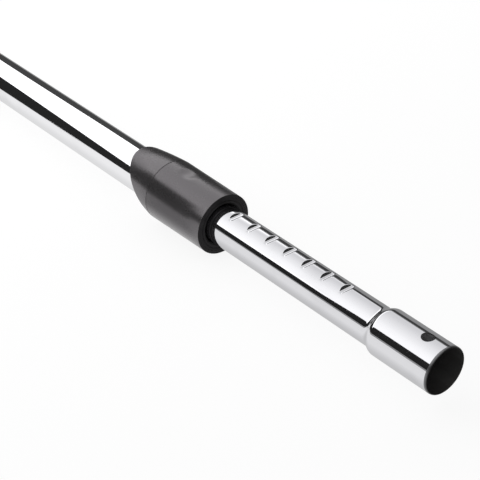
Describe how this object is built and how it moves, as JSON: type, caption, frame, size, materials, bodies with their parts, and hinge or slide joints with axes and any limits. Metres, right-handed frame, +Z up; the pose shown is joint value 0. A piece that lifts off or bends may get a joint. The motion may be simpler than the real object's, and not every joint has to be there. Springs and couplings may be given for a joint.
{
  "type": "telescopic vacuum wand",
  "caption": "Chrome telescopic vacuum wand: a notched inner tube slides in an outer tube and is locked by a roller under a spring-returned black sleeve; sockets at both ends.",
  "frame": {"origin": "centre of the tool socket's mouth, on the wand's axis", "axes": "+X along the wand and out of the tool socket, +Z up through the notches and the button hole, +Y to the left seen from the handle"},
  "size_m": [0.762, 0.05, 0.05],
  "materials": {
    "chrome_inner": "bright chrome plate",
    "chrome_outer": "bright chrome plate",
    "sleeve_black": "fine matt texture",
    "ring_black": "matt",
    "acetal": "natural acetal",
    "steel": "zinc-plated spring steel",
    "felt": "grey wool felt"
  },
  "bodies": {
    "outer": {"outer_tube": "chrome_outer", "guide_bush": "acetal", "bush_seal": "felt", "return_spring": "steel"},
    "inner": {"inner_tube": "chrome_inner", "slider_left": "acetal", "slider_right": "acetal"},
    "sleeve": {"sleeve_shell": "sleeve_black", "rear_collar": "sleeve_black", "front_ring": "ring_black"},
    "roller": {"locking_roller": "steel", "roller_pin": "steel"}
  },
  "joints": [
    {"name": "tube_slide", "type": "slide", "parent": "outer", "child": "inner", "axis": [1, 0, 0], "range_m": [-0.16, 0.2]},
    {"name": "sleeve_slide", "type": "slide", "parent": "outer", "child": "sleeve", "axis": [1, 0, 0], "range_m": [0, 0.006], "stiffness_N_per_m": 1500, "springref_m": -0.006, "deforming": ["return_spring"]},
    {"name": "roller_lift", "type": "slide", "parent": "outer", "child": "roller", "axis": [0, 0, 1], "range_m": [0, 0.0018]}
  ],
  "couplings": [
    {"joint": "roller_lift", "follows": "sleeve_slide", "ratio": 0.3}
  ]
}
